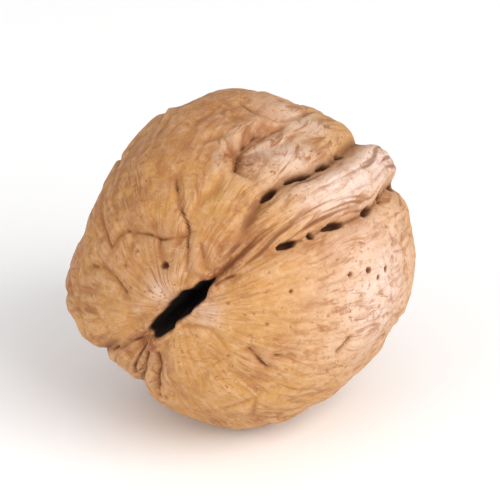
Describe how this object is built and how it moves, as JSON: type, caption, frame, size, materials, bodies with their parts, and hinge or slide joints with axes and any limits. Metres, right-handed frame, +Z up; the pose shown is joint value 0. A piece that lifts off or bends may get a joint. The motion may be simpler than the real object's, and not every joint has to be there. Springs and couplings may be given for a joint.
{
  "type": "walnut",
  "caption": "Whole walnut in its shell, a rounded nut with a raised seam band, wrinkled halves, an opening at the stem end and a small point at the tip.",
  "frame": {"origin": "on the ground under the middle of the nut's bounding box, at its resting pose", "axes": "+Z up from the surface it rests on, +Y from the stem end towards the tip, -Y towards the opening at the stem end"},
  "size_m": [0.0334, 0.0388, 0.033],
  "materials": {
    "shell": "matt, wrinkled, pale tan"
  },
  "bodies": {
    "root": {"walnut": "shell"}
  },
  "joints": []
}
